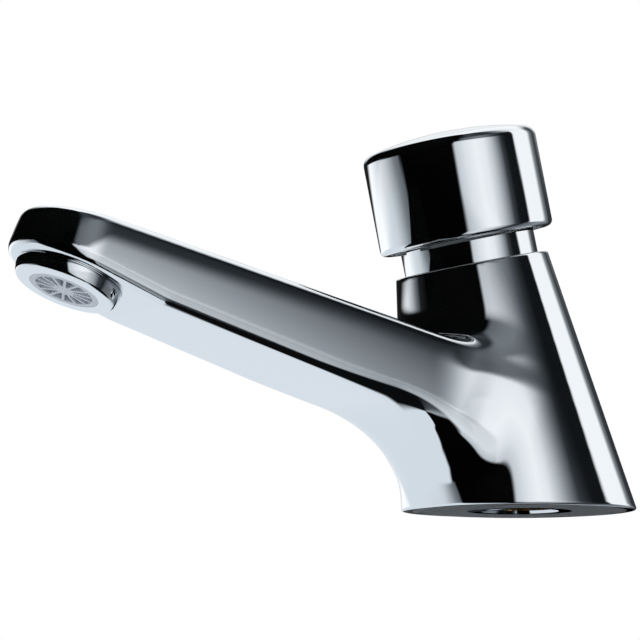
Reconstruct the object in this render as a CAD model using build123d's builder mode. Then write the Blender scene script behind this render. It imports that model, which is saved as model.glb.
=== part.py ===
"""Self-closing deck tap: a leaning cast column with a long flat-topped spout, opened by a large push button.

The frame has +Z up and the spout along -Y. X = 0 is the plane of symmetry, and the origin is the
middle of the round base, on the deck. Heights called "along the lean" run up the leaning axis.
"""
import os
from math import cos, radians, sin, sqrt, tan

from build123d import *

os.makedirs("parts", exist_ok=True)

# Column and its leaning axis
lean = 12.9
base_radius = 33.0
rim_radius = 22.0
rim_height = 71.5
rim_round = 0.8

# Spout: reach and height are those of the middle of the outlet's flat facet
outlet_reach = 143.3
outlet_height = 55.5
outlet_lean = 22.0
tip_radius = 17.6
root_radius = 22.3
root_reach = 12.0
root_height = 40.0
tip_depth = 14.9
top_slope = 13.25
under_slope = 16.5
lower_round = 3.0
shelf_round = 2.2

# Arch from the base's front edge up to the underside of the spout
arch_radius = 34.0
arch_lean = 8.0
arch_margin = 0.8
arch_round_shares = (1, 0.78, 0.56, 0.33, 0.1, 0.0002)

# Button and the collar it slides on
button_radius = 25.0
button_gap = 7.0
button_height = 31.8
button_wall = 1.8
crown_radius = 97.0
crown_round = 3.0
skirt_round = 2.0
crown_depth = 6.8
boss_radius = 6.5
boss_depth = 11.5
travel = 5.5
collar_radius = 19.25
collar_bore = 13.2
collar_height = 16.5
collar_chamfer = 0.5
bush_height = 6.0
bush_inset = 2.5

# Cartridge, along the lean, from the foot of its bore
cartridge_low = 30.0
cartridge_radius = 14.3
cartridge_flange = 2.0
thread_radius = 16.5
thread_depth = 8.0
gallery_radius = 9.0
gallery_height = 6.5
gallery_groove = 1.7
port_radius = 2.6
port_count = 4
partition = 3.0
chamber_radius = 11.0
chamber_height = 14.0
guide_radius = 11.6
guide_height = 4.5
clip_thickness = 1.0
clip_grip = 0.8
clip_width = 2.9
clip_gap_angle = 40.0
ring_section = 1.5
ring_groove = 1.8

# Valve under the seat
seat_height = 3.5
seat_bore = 5.2
seat_lip = 1.0
washer_radius = 8.2
washer_thickness = 2.0
disc_wall = 0.8
disc_height = 2.5
valve_nut_height = 2.0
valve_nut_width = 7.0
valve_room = 10.5

# Stem and timing piston
stem_radius = 3.0
stem_shoulder = 3.5
stem_foot = 2.0
stem_end = 0.5
piston_height = 4.0
piston_rise = 6.0
piston_gap = 0.4
piston_groove = 2.4
seal_height = 2.0
lip_thickness = 0.8
locknut_width = 11.0
locknut_height = 4.0

# Return spring
spring_radius = 10.5
spring_wire = 1.8
spring_turns = 7
spring_seat_thickness = 1.2

# Base: recess with its gasket, relief pocket and threaded inlet
recess_edge = 2.5
recess_depth = 2.0
pocket_edge = 6.0
pocket_depth = 6.0
inlet_boss = 15.0
inlet_radius = 10.48
inlet_depth = 12.0
feed_radius = 8.5
strainer_thickness = 1.2
strainer_hole = 0.6
strainer_rings = 4

# Waterway inside the spout
water_width = 24.0
water_height = 10.0
water_corner = 4.0
water_start = 48.0
water_end = 124.0
link_width = 12.0
link_height = 2.4
feed_hole = 3.1

# Outlet and aerator
outlet_thread = 11.9
outlet_depth = 7.0
outlet_room = 9.0
outlet_room_depth = 3.5
flange_radius = 14.3
flange_height = 2.3
ring_height = 3.95
ring_nose = 12.0
ring_bore = 10.4
ring_lip = 9.4
lip_height = 1.95
aerator_seal_thickness = 1.5
insert_ring = 1.6
insert_hub = 2.8
insert_spoke = 0.7
insert_spokes = 14
insert_shoulder = 1.0
jet_radius = 0.6
jet_rings = 4

# Clearances and cutting allowances
slip = 0.1
glide = 0.15
seating = 0.05
overrun = 60.0

lean_axis_line = Vector(0, -sin(radians(lean)), cos(radians(lean)))
lean_axis = Axis((0, 0, 0), tuple(lean_axis_line))
turning_plane = Plane(origin=(0, 0, 0), x_dir=(1, 0, 0), z_dir=(0, -cos(radians(lean)), -sin(radians(lean))))
side_plane = Plane(origin=(0, 0, 0), x_dir=(0, -1, 0), z_dir=(-1, 0, 0))
outlet_line = Vector(0, sin(radians(outlet_lean)), cos(radians(outlet_lean)))
outlet_centre = Vector(0, -outlet_reach, outlet_height)
outlet_plane = Plane(origin=outlet_centre, x_dir=(1, 0, 0), z_dir=outlet_line)
outlet_axis = Axis(tuple(outlet_centre), tuple(outlet_line))
outlet_turning_plane = Plane(
    origin=outlet_centre,
    x_dir=(1, 0, 0),
    z_dir=(0, -cos(radians(outlet_lean)), sin(radians(outlet_lean))),
)


def level(height):
    """Plane across the leaning axis at a height along the lean."""
    return Plane(origin=lean_axis_line * height, x_dir=(1, 0, 0), z_dir=lean_axis_line)


def top_at(reach):
    """Height of the spout's flat top at a reach from the base's middle."""
    return outlet_height + tip_depth + (reach - outlet_reach) * tan(radians(top_slope))


def facet_at(reach):
    """Height of the outlet's facet."""
    return outlet_height + (reach - outlet_reach) * tan(radians(outlet_lean))


def arch_point(share):
    """Reach and height of the arch's middle line, from the base (0) to the underside (1)."""
    turn = (180 - arch_lean) * (1 - share) + (90 + under_slope) * share
    reach = base_radius + arch_radius * (cos(radians(arch_lean)) + cos(radians(turn)))
    return reach, arch_radius * (sin(radians(turn)) - sin(radians(arch_lean)))


arch_end_reach, arch_end_height = arch_point(1)


def under_at(reach):
    """Height of the spout's underside, which leaves the arch at a tangent."""
    return arch_end_height + (reach - arch_end_reach) * tan(radians(under_slope))


# The facet starts where its plane meets the underside
slope_difference = tan(radians(outlet_lean)) - tan(radians(under_slope))
facet_start = outlet_reach - (outlet_height - under_at(outlet_reach)) / slope_difference
spout_end = outlet_reach + 2 * tip_radius

# Plan outline of the spout, swept along the outlet's axis: a round tip that widens towards the column
root_drop = (outlet_height - root_height) * tan(radians(outlet_lean))
root_back = (outlet_reach - root_reach + root_drop) * cos(radians(outlet_lean))
with BuildPart() as outline:
    with BuildSketch(outlet_plane.offset(-overrun)):
        Circle(tip_radius)
        with Locations((0, root_back)):
            Circle(root_radius)
        make_hull()
    extrude(amount=overrun * 2.5)

# Foot of the spout: its front is round like the base at the deck and flat across where the arch ends.
# The outline's straight flanks are carried on through it, inside the column.
half_arch = root_radius + arch_margin
base_sagitta = base_radius - sqrt(base_radius**2 - half_arch**2)
flank_run = root_radius * 2
flank_growth = (root_radius - tip_radius) / root_back
with BuildPart() as foot:
    for index, round_share in enumerate(arch_round_shares):
        front, height = arch_point(index / (len(arch_round_shares) - 1))
        side_front = base_sagitta * round_share - front
        with BuildSketch(Plane.XY.offset(height)):
            with BuildLine():
                ThreePointArc((-half_arch, side_front), (0, -front), (half_arch, side_front))
                Polyline(
                    (half_arch, side_front),
                    (half_arch, 0),
                    (-half_arch, 0),
                    (-half_arch, side_front),
                )
            make_face()
    loft()
    with BuildSketch(outlet_plane.offset(-overrun)):
        Circle(tip_radius)
        with Locations((0, root_back + flank_run)):
            Circle(root_radius + flank_run * flank_growth)
        make_hull()
    extrude(amount=overrun * 2.5, mode=Mode.INTERSECT)
    arch_edges = edges().filter_by(GeomType.BSPLINE).filter_by(
        lambda edge: abs(edge.center().X) > root_radius / 2 and edge.length > arch_radius
    )
    fillet(arch_edges, radius=lower_round)

# Arm of the spout, from inside the column to the tip, with its lower edge rounded and the facet cut last
arm_back = root_reach / 2
with BuildPart() as arm:
    with BuildSketch(side_plane):
        with BuildLine():
            Polyline(
                (arm_back, top_at(arm_back)),
                (spout_end, top_at(spout_end)),
                (spout_end, under_at(spout_end)),
                (arch_end_reach, arch_end_height),
                (arm_back, arch_end_height),
                close=True,
            )
        make_face()
    extrude(amount=base_radius, both=True)
    add(outline.part, mode=Mode.INTERSECT)
    lower_edges = edges().filter_by(
        lambda edge: -edge.center().Y > arch_end_reach
        and edge.center().Z < under_at(-edge.center().Y) + rim_round
        and edge.length > root_radius * 2
    )
    fillet(lower_edges, radius=lower_round)
    with BuildSketch(side_plane):
        with BuildLine():
            Polyline(
                (facet_start, under_at(facet_start)),
                (spout_end, facet_at(spout_end)),
                (spout_end, under_at(facet_start) - tip_radius),
                (facet_start, under_at(facet_start) - tip_radius),
                close=True,
            )
        make_face()
    extrude(amount=base_radius, both=True, mode=Mode.SUBTRACT)

# Heights along the lean that the cartridge's parts share
seat_top = cartridge_low + seat_height
gallery_top = seat_top + gallery_height
partition_top = gallery_top + partition
chamber_top = partition_top + chamber_height
shoulder_height = rim_height - thread_depth - cartridge_flange
guide_top = chamber_top + guide_height
flange_top = shoulder_height + cartridge_flange
cartridge_bore = cartridge_radius + slip
lower_ring_height = cartridge_low + seat_height / 2
upper_ring_height = partition_top + ring_groove
ring_centre = cartridge_bore - ring_section / 2
groove_depth = cartridge_radius - (cartridge_bore - ring_section)
lip_low = cartridge_low - seat_lip
washer_low = lip_low - washer_thickness
disc_low = washer_low - disc_height
valve_nut_low = disc_low - valve_nut_height
stem_low = valve_nut_low - stem_end
valve_room_low = stem_low - travel - seat_lip

# Waterway's middle line, halfway between the top and the underside
water_slope = (top_slope + under_slope) / 2


def water_at(reach):
    """Height of the waterway's middle line at a reach."""
    middle = (top_at(water_start) + max(under_at(water_start), 0)) / 2
    return middle + (reach - water_start) * tan(radians(water_slope))


def water_plane(reach):
    """Plane across the waterway at a reach, facing the outlet."""
    return Plane(
        origin=(0, -reach, water_at(reach)),
        x_dir=(1, 0, 0),
        z_dir=(0, -cos(radians(water_slope)), sin(radians(water_slope))),
    )


# Column and spout in one casting
recess_radius = base_radius - recess_edge
pocket_radius = base_radius - pocket_edge
with BuildPart() as body:
    with BuildSketch(Plane.XY):
        Circle(base_radius)
    with BuildSketch(level(rim_height)):
        Circle(rim_radius)
    loft(ruled=True)
    add(foot.part)
    add(arm.part)
    shelf_edges = edges().filter_by(
        lambda edge: -edge.center().Y > base_radius
        and abs(edge.center().Z - top_at(-edge.center().Y)) < shelf_round
        and edge.length > root_radius * 2
    )
    fillet(shelf_edges, radius=shelf_round)
    rim_middle = lean_axis_line * rim_height
    rim_edges = edges().filter_by(
        lambda edge: edge.geom_type == GeomType.CIRCLE and (edge.arc_center - rim_middle).length < rim_round
    )
    fillet(rim_edges, radius=rim_round)
    # Recess, relief pocket and threaded inlet under the base
    with BuildSketch(Plane.XY):
        Circle(recess_radius)
        Circle(inlet_boss, mode=Mode.SUBTRACT)
    extrude(amount=recess_depth, mode=Mode.SUBTRACT)
    with BuildSketch(Plane.XY.offset(recess_depth)):
        Circle(pocket_radius)
        Circle(inlet_boss, mode=Mode.SUBTRACT)
    extrude(amount=pocket_depth, mode=Mode.SUBTRACT)
    with BuildSketch(Plane.XY):
        Circle(inlet_radius)
    extrude(amount=inlet_depth, mode=Mode.SUBTRACT)
    with BuildSketch(Plane.XY.offset(inlet_depth)):
        Circle(feed_radius)
    extrude(amount=valve_room_low / 2, mode=Mode.SUBTRACT)
    # Stepped bore for the valve, the cartridge and the collar's thread
    for radius, low, high in (
        (valve_room, valve_room_low, cartridge_low),
        (cartridge_bore, cartridge_low, shoulder_height),
        (thread_radius, shoulder_height, rim_height),
    ):
        with BuildSketch(level(low)):
            Circle(radius)
        extrude(amount=high - low, mode=Mode.SUBTRACT)
    # Waterway: a wide duct, a feed hole from the cartridge's ports and a slot into the outlet
    with BuildSketch(water_plane(water_start)):
        RectangleRounded(water_width, water_height, water_corner)
    extrude(amount=(water_end - water_start) / cos(radians(water_slope)), mode=Mode.SUBTRACT)
    link_start = Vector(0, -(water_end - water_height), water_at(water_end - water_height))
    room_wall = outlet_room_depth / 2 + outlet_depth
    link_finish = outlet_centre + outlet_line * room_wall + outlet_plane.y_dir * (outlet_room - link_height)
    with BuildSketch(Plane(origin=link_start, x_dir=(1, 0, 0), z_dir=link_finish - link_start)):
        SlotOverall(link_width, link_height)
    extrude(amount=(link_finish - link_start).length, mode=Mode.SUBTRACT)
    port_level = seat_top + gallery_height / 2
    feed_start = lean_axis_line * port_level + Vector(0, -gallery_radius, 0)
    feed_finish = Vector(0, -(water_start + feed_hole), water_at(water_start))
    with BuildSketch(Plane(origin=feed_start, x_dir=(1, 0, 0), z_dir=feed_finish - feed_start)):
        Circle(feed_hole)
    extrude(amount=(feed_finish - feed_start).length, mode=Mode.SUBTRACT)
    # Outlet bore for the aerator, opening in the facet
    with BuildSketch(outlet_plane):
        Circle(outlet_thread)
    extrude(amount=outlet_depth, mode=Mode.SUBTRACT)
    with BuildSketch(outlet_plane.offset(outlet_depth)):
        Circle(outlet_room)
    extrude(amount=outlet_room_depth, mode=Mode.SUBTRACT)
body.part.label = "body"
export_step(body.part, "parts/body.step")

# Button cap: drawn from its crown down to the skirt, with a boss for the stem
button_low = rim_height + button_gap
crown_top = button_low + button_height
crown_edge = crown_top - (crown_radius - sqrt(crown_radius**2 - button_radius**2))
crown_mid = crown_top - (crown_radius - sqrt(crown_radius**2 - (button_radius / 2) ** 2))
button_bore = button_radius - button_wall
ceiling = crown_top - crown_depth
boss_low = ceiling - boss_depth
stem_top = ceiling - crown_round
with BuildPart() as push_button:
    with BuildSketch(turning_plane):
        with BuildLine():
            ThreePointArc((0, crown_top), (button_radius / 2, crown_mid), (button_radius, crown_edge))
            Polyline(
                (button_radius, crown_edge),
                (button_radius, button_low),
                (button_bore, button_low),
                (button_bore, ceiling),
                (boss_radius, ceiling),
                (boss_radius, boss_low),
                (stem_radius, boss_low),
                (stem_radius, stem_top),
                (0, stem_top),
                (0, crown_top),
            )
        make_face()
        outer_corners = vertices().group_by(Axis.X)[-1].sort_by(Axis.Y)
        fillet(outer_corners[-1], radius=crown_round)
        outer_corners = vertices().group_by(Axis.X)[-1].sort_by(Axis.Y)
        fillet(outer_corners[0], radius=min(skirt_round, button_wall * 0.9))
    revolve(axis=lean_axis)
push_button.part.label = "push_button"
export_step(push_button.part, "parts/push_button.step")

# Plastic ring inside the skirt that slides on the collar
bush_low = button_low + bush_inset
with BuildPart() as button_bush:
    with BuildSketch(level(bush_low)):
        Circle(button_bore)
        Circle(collar_radius + glide, mode=Mode.SUBTRACT)
    extrude(amount=bush_height)
button_bush.part.label = "button_bush"
export_step(button_bush.part, "parts/button_bush.step")

# Hexagon nut that locks the button on its stem
with BuildPart() as button_locknut:
    with BuildSketch(level(boss_low - locknut_height)):
        RegularPolygon(locknut_width / 2, 6, major_radius=False)
        Circle(stem_radius, mode=Mode.SUBTRACT)
    extrude(amount=locknut_height)
button_locknut.part.label = "button_locknut"
export_step(button_locknut.part, "parts/button_locknut.step")

# Collar: its spigot screws into the body and clamps the cartridge, its sleeve guides the button
spigot_low = flange_top
collar_seal_height = rim_height - ring_groove
with BuildPart() as collar:
    with BuildSketch(turning_plane):
        with BuildLine():
            Polyline(
                (collar_bore, spigot_low),
                (thread_radius, spigot_low),
                (thread_radius, rim_height),
                (collar_radius, rim_height),
                (collar_radius, rim_height + collar_height - collar_chamfer),
                (collar_radius - collar_chamfer, rim_height + collar_height),
                (collar_bore, rim_height + collar_height),
                close=True,
            )
        make_face()
        with Locations((thread_radius - ring_section / 2, collar_seal_height)):
            Rectangle(ring_section, ring_groove, mode=Mode.SUBTRACT)
    revolve(axis=lean_axis)
collar.part.label = "collar"
export_step(collar.part, "parts/collar.step")

with BuildPart() as collar_seal:
    with BuildSketch(turning_plane):
        with Locations((thread_radius - ring_section / 2, collar_seal_height)):
            Circle(ring_section / 2)
    revolve(axis=lean_axis)
collar_seal.part.label = "collar_seal"
export_step(collar_seal.part, "parts/collar_seal.step")

# Cartridge sleeve: seat pocket, gallery with its ports, partition, timing chamber and guide pocket
partition_bore = stem_shoulder + slip
clip_groove_radius = guide_radius + clip_grip
with BuildPart() as cartridge_sleeve:
    with BuildSketch(turning_plane):
        with BuildLine():
            Polyline(
                (gallery_radius, cartridge_low),
                (cartridge_radius, cartridge_low),
                (cartridge_radius, shoulder_height),
                (thread_radius - slip, shoulder_height),
                (thread_radius - slip, flange_top),
                (guide_radius, flange_top),
                (guide_radius, guide_top + clip_thickness),
                (clip_groove_radius, guide_top + clip_thickness),
                (clip_groove_radius, guide_top),
                (guide_radius, guide_top),
                (guide_radius, chamber_top),
                (chamber_radius, chamber_top),
                (chamber_radius, partition_top),
                (partition_bore, partition_top),
                (partition_bore, gallery_top),
                (gallery_radius, gallery_top),
                close=True,
            )
        make_face()
        for groove_height in (lower_ring_height, upper_ring_height):
            with Locations((cartridge_radius - groove_depth / 2, groove_height)):
                Rectangle(groove_depth, ring_groove, mode=Mode.SUBTRACT)
        with Locations((cartridge_radius - gallery_groove / 2, port_level)):
            Rectangle(gallery_groove, gallery_height, mode=Mode.SUBTRACT)
    revolve(axis=lean_axis)
    for index in range(port_count):
        spoke_plane = level(port_level).rotated((0, 0, 360 / port_count * index))
        with BuildSketch(Plane(origin=spoke_plane.origin, x_dir=spoke_plane.z_dir, z_dir=spoke_plane.x_dir)):
            Circle(port_radius)
        extrude(amount=cartridge_radius, mode=Mode.SUBTRACT)
cartridge_sleeve.part.label = "cartridge_sleeve"
export_step(cartridge_sleeve.part, "parts/cartridge_sleeve.step")

with BuildPart() as sleeve_seal_lower:
    with BuildSketch(turning_plane):
        with Locations((ring_centre, lower_ring_height)):
            Circle(ring_section / 2)
    revolve(axis=lean_axis)
sleeve_seal_lower.part.label = "sleeve_seal_lower"
export_step(sleeve_seal_lower.part, "parts/sleeve_seal_lower.step")

with BuildPart() as sleeve_seal_upper:
    with BuildSketch(turning_plane):
        with Locations((ring_centre, upper_ring_height)):
            Circle(ring_section / 2)
    revolve(axis=lean_axis)
sleeve_seal_upper.part.label = "sleeve_seal_upper"
export_step(sleeve_seal_upper.part, "parts/sleeve_seal_upper.step")

# Seat ring pressed into the sleeve's foot, with a raised lip for the washer
with BuildPart() as valve_seat:
    with BuildSketch(turning_plane):
        with BuildLine():
            Polyline(
                (seat_bore, lip_low),
                (seat_bore + seat_lip, lip_low),
                (seat_bore + seat_lip, cartridge_low),
                (gallery_radius, cartridge_low),
                (gallery_radius, seat_top),
                (seat_bore, seat_top),
                close=True,
            )
        make_face()
    revolve(axis=lean_axis)
valve_seat.part.label = "valve_seat"
export_step(valve_seat.part, "parts/valve_seat.step")

# Rubber washer and the cup that carries it, nutted on the foot of the stem. The washer stops just
# short of the lip, which it presses on when the tap is shut.
washer_top = lip_low - seating
with BuildPart() as valve_washer:
    with BuildSketch(level(washer_low)):
        Circle(washer_radius)
        Circle(stem_foot, mode=Mode.SUBTRACT)
    extrude(amount=washer_top - washer_low)
valve_washer.part.label = "valve_washer"
export_step(valve_washer.part, "parts/valve_washer.step")

with BuildPart() as valve_disc:
    with BuildSketch(level(disc_low)):
        Circle(washer_radius + disc_wall)
        Circle(stem_foot, mode=Mode.SUBTRACT)
    extrude(amount=disc_height)
    with BuildSketch(level(washer_low)):
        Circle(washer_radius + disc_wall)
        Circle(washer_radius, mode=Mode.SUBTRACT)
    extrude(amount=washer_thickness / 2)
valve_disc.part.label = "valve_disc"
export_step(valve_disc.part, "parts/valve_disc.step")

with BuildPart() as valve_nut:
    with BuildSketch(level(valve_nut_low)):
        RegularPolygon(valve_nut_width / 2, 6, major_radius=False)
        Circle(stem_foot, mode=Mode.SUBTRACT)
    extrude(amount=valve_nut_height)
valve_nut.part.label = "valve_nut"
export_step(valve_nut.part, "parts/valve_nut.step")

# Stem: thin foot for the valve, thick middle, then a long shank with a groove for the piston's clip
piston_low = partition_top + piston_rise
piston_top = piston_low + piston_height
clip_root = stem_radius - clip_grip / 2
with BuildPart() as stem:
    with BuildSketch(turning_plane):
        with BuildLine():
            Polyline(
                (0, stem_low),
                (stem_foot, stem_low),
                (stem_foot, washer_top),
                (stem_shoulder, washer_top),
                (stem_shoulder, piston_low),
                (stem_radius, piston_low),
                (stem_radius, piston_top),
                (clip_root, piston_top),
                (clip_root, piston_top + clip_thickness),
                (stem_radius, piston_top + clip_thickness),
                (stem_radius, stem_top),
                (0, stem_top),
                close=True,
            )
        make_face()
    revolve(axis=lean_axis)
stem.part.label = "stem"
export_step(stem.part, "parts/stem.step")

# Timing piston with a groove, and the lipped rubber ring in it that drags on the chamber's wall
piston_radius = chamber_radius - piston_gap
seal_low = piston_low + (piston_height - seal_height) / 2
seal_root = piston_radius - piston_groove
with BuildPart() as timing_piston:
    with BuildSketch(turning_plane):
        with BuildLine():
            Polyline(
                (stem_radius, piston_low),
                (piston_radius, piston_low),
                (piston_radius, seal_low),
                (seal_root, seal_low),
                (seal_root, seal_low + seal_height),
                (piston_radius, seal_low + seal_height),
                (piston_radius, piston_top),
                (stem_radius, piston_top),
                close=True,
            )
        make_face()
    revolve(axis=lean_axis)
timing_piston.part.label = "timing_piston"
export_step(timing_piston.part, "parts/timing_piston.step")

seal_outer = chamber_radius - glide
with BuildPart() as piston_seal:
    with BuildSketch(turning_plane):
        with BuildLine():
            Polyline(
                (seal_root, seal_low),
                (seal_root + lip_thickness, seal_low),
                (seal_root + lip_thickness, seal_low + seal_height - lip_thickness),
                (seal_outer - lip_thickness, seal_low + seal_height - lip_thickness),
                (seal_outer - lip_thickness, seal_low),
                (seal_outer, seal_low),
                (seal_outer, seal_low + seal_height),
                (seal_root, seal_low + seal_height),
                close=True,
            )
        make_face()
    revolve(axis=lean_axis)
piston_seal.part.label = "piston_seal"
export_step(piston_seal.part, "parts/piston_seal.step")

with BuildPart() as piston_clip:
    with BuildSketch(level(piston_top)):
        Circle(clip_root + clip_width)
        Circle(clip_root, mode=Mode.SUBTRACT)
        with Locations((0, -clip_width)):
            Rectangle(clip_root * 2, clip_width * 2 + clip_root, mode=Mode.SUBTRACT)
    extrude(amount=clip_thickness)
piston_clip.part.label = "piston_clip"
export_step(piston_clip.part, "parts/piston_clip.step")

# Guide that closes the chamber, with a ring seal round the stem and a spring clip above it
seal_bore = stem_radius + glide
stem_seal_height = chamber_top + guide_height / 2
with BuildPart() as stem_guide:
    with BuildSketch(turning_plane):
        with Locations(((stem_radius + slip + guide_radius) / 2, stem_seal_height)):
            Rectangle(guide_radius - stem_radius - slip, guide_height)
        with Locations((stem_radius + slip + ring_section / 2, stem_seal_height)):
            Rectangle(ring_section, ring_groove, mode=Mode.SUBTRACT)
    revolve(axis=lean_axis)
stem_guide.part.label = "stem_guide"
export_step(stem_guide.part, "parts/stem_guide.step")

with BuildPart() as stem_seal:
    with BuildSketch(turning_plane):
        with Locations(((seal_bore + stem_radius + slip + ring_section) / 2, stem_seal_height)):
            Circle((stem_radius + slip + ring_section - seal_bore) / 2)
    revolve(axis=lean_axis)
stem_seal.part.label = "stem_seal"
export_step(stem_seal.part, "parts/stem_seal.step")

with BuildPart() as guide_circlip:
    with BuildSketch(level(guide_top)):
        Circle(clip_groove_radius)
        Circle(clip_groove_radius - clip_width, mode=Mode.SUBTRACT)
        with BuildLine():
            Line((0, 0), (0, -guide_radius * 2))
            Line((0, -guide_radius * 2), (-guide_radius * 2 * tan(radians(clip_gap_angle)), -guide_radius * 2))
            Line((-guide_radius * 2 * tan(radians(clip_gap_angle)), -guide_radius * 2), (0, 0))
        make_face(mode=Mode.SUBTRACT)
    extrude(amount=clip_thickness)
guide_circlip.part.label = "guide_circlip"
export_step(guide_circlip.part, "parts/guide_circlip.step")

# Washer under the return spring, which stands inside the collar and reaches the button's ceiling
with BuildPart() as spring_seat:
    with BuildSketch(level(flange_top)):
        Circle(collar_bore - slip)
        Circle(stem_radius + seat_lip, mode=Mode.SUBTRACT)
    extrude(amount=spring_seat_thickness)
spring_seat.part.label = "spring_seat"
export_step(spring_seat.part, "parts/spring_seat.step")

spring_low = flange_top + spring_seat_thickness + spring_wire / 2
spring_rise = ceiling - spring_wire / 2 - spring_low
with BuildPart() as return_spring:
    with BuildLine() as coil:
        Helix(
            pitch=spring_rise / spring_turns,
            height=spring_rise,
            radius=spring_radius,
            center=tuple(lean_axis_line * spring_low),
            direction=tuple(lean_axis_line),
        )
    with BuildSketch(Plane(origin=coil.line @ 0, z_dir=coil.line % 0)):
        Circle(spring_wire / 2 - seating)
    sweep(path=coil.line, is_frenet=True)
return_spring.part.label = "return_spring"
export_step(return_spring.part, "parts/return_spring.step")

# Gasket that fills the recess under the base, flush with the metal edge
with BuildPart() as base_seal:
    with BuildSketch(Plane.XY):
        Circle(recess_radius - slip)
        Circle(inlet_boss + slip, mode=Mode.SUBTRACT)
    extrude(amount=recess_depth)
base_seal.part.label = "base_seal"
export_step(base_seal.part, "parts/base_seal.step")

# Strainer: a pierced disc at the top of the threaded inlet
with BuildPart() as inlet_strainer:
    with BuildSketch(Plane.XY.offset(inlet_depth)):
        Circle(feed_radius)
        for ring_index in range(1, strainer_rings + 1):
            ring_radius = feed_radius * ring_index / (strainer_rings + 1)
            with PolarLocations(ring_radius, 6 * ring_index):
                Circle(strainer_hole, mode=Mode.SUBTRACT)
    extrude(amount=strainer_thickness)
inlet_strainer.part.label = "inlet_strainer"
export_step(inlet_strainer.part, "parts/inlet_strainer.step")

# Aerator ring: threaded spigot in the outlet, flange on the facet and a coned nose with an inner lip
spigot_height = outlet_depth - aerator_seal_thickness
lip_top = lip_height - ring_height
with BuildPart() as aerator_ring:
    with BuildSketch(outlet_turning_plane):
        with BuildLine():
            Polyline(
                (ring_lip, -ring_height),
                (ring_nose, -ring_height),
                (flange_radius, -flange_height),
                (flange_radius, 0),
                (outlet_thread, 0),
                (outlet_thread, spigot_height),
                (ring_bore, spigot_height),
                (ring_bore, lip_top),
                (ring_lip, lip_top),
                close=True,
            )
        make_face()
    revolve(axis=outlet_axis)
aerator_ring.part.label = "aerator_ring"
export_step(aerator_ring.part, "parts/aerator_ring.step")

# Star insert: hub, radial spokes and rim, flush with the ring's nose and held by its lip
insert_radius = ring_lip - seating
with BuildPart() as aerator_insert:
    with BuildSketch(outlet_plane.offset(-ring_height)):
        Circle(insert_radius)
    extrude(amount=lip_height)
    with BuildSketch(outlet_plane.offset(lip_top)):
        Circle(ring_bore - seating)
    extrude(amount=insert_shoulder)
    with BuildSketch(outlet_plane.offset(-ring_height)):
        Circle(insert_radius - insert_ring)
        Circle(insert_hub, mode=Mode.SUBTRACT)
        with PolarLocations(0, insert_spokes):
            with Locations((insert_radius / 2, 0)):
                Rectangle(insert_radius, insert_spoke, mode=Mode.SUBTRACT)
    extrude(amount=lip_height + insert_shoulder, mode=Mode.SUBTRACT)
aerator_insert.part.label = "aerator_insert"
export_step(aerator_insert.part, "parts/aerator_insert.step")

# Jet core above the insert, pierced all over
core_low = lip_top + insert_shoulder
with BuildPart() as aerator_core:
    with BuildSketch(outlet_plane.offset(core_low)):
        Circle(ring_bore - seating)
        for ring_index in range(1, jet_rings + 1):
            with PolarLocations((ring_bore - seating) * ring_index / (jet_rings + 1), 6 * ring_index):
                Circle(jet_radius, mode=Mode.SUBTRACT)
    extrude(amount=spigot_height - core_low)
aerator_core.part.label = "aerator_core"
export_step(aerator_core.part, "parts/aerator_core.step")

with BuildPart() as aerator_seal:
    with BuildSketch(outlet_plane.offset(spigot_height)):
        Circle(outlet_thread - seating)
        Circle(outlet_room, mode=Mode.SUBTRACT)
    extrude(amount=aerator_seal_thickness)
aerator_seal.part.label = "aerator_seal"
export_step(aerator_seal.part, "parts/aerator_seal.step")
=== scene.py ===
from math import asin, atan, cos, degrees, hypot, pi, radians, sin, sqrt, tan

import bmesh
import bpy
import numpy as np
from mathutils import Matrix, Vector


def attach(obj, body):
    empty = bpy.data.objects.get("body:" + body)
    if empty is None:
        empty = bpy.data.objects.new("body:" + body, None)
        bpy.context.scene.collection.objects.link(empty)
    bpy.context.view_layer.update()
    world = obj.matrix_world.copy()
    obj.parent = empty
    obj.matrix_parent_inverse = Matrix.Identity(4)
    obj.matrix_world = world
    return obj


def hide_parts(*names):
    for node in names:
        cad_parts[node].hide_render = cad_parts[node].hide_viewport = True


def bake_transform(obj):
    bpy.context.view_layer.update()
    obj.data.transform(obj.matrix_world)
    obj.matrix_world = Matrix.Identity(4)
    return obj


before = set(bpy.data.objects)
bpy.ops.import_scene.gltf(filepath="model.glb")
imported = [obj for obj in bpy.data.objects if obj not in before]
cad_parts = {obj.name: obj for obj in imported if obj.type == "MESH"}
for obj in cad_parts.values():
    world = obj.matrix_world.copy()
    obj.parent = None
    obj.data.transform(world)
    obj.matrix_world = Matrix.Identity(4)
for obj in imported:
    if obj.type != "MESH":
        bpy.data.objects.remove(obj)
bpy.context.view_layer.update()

# Body: the column and the spout are one brass casting, ground and polished all over and then
# plated with chrome. Rough shapes are joined first, and their mesh is then settled on the exact
# surfaces of the finished skin. Sizes are in millimetres until a piece is done.
MM = 0.001
lean = radians(12.9)
base_radius = 33.0
rim_radius = 22.0
rim_height = 71.5
edge_round = 0.7
base_squareness = 0.4
squareness_power = 1.5
base_trim = 0.045

# Spout: a flat top, an arch that runs into a flat underside, and a facet that carries the outlet
outlet_reach = 143.3
outlet_height = 55.5
outlet_lean = radians(22)
outlet_bore = 11.9
outlet_bore_depth = 10.5
tip_radius = 17.6
tip_depth = 14.9
root_radius = 22.3
root_reach = 12.0
root_height = 40.0
root_cut = 16.0
top_slope = radians(13.25)
under_slope = radians(16.5)
arch_radius = 34.0
arch_lean = radians(8)
lower_round = 3.0
facet_round = 1.6
facet_round_run = 1.5
shelf_round = 2.3
flank_crown = 0.75
flank_crown_limit = 1.2
least_flank = 12.0

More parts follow.
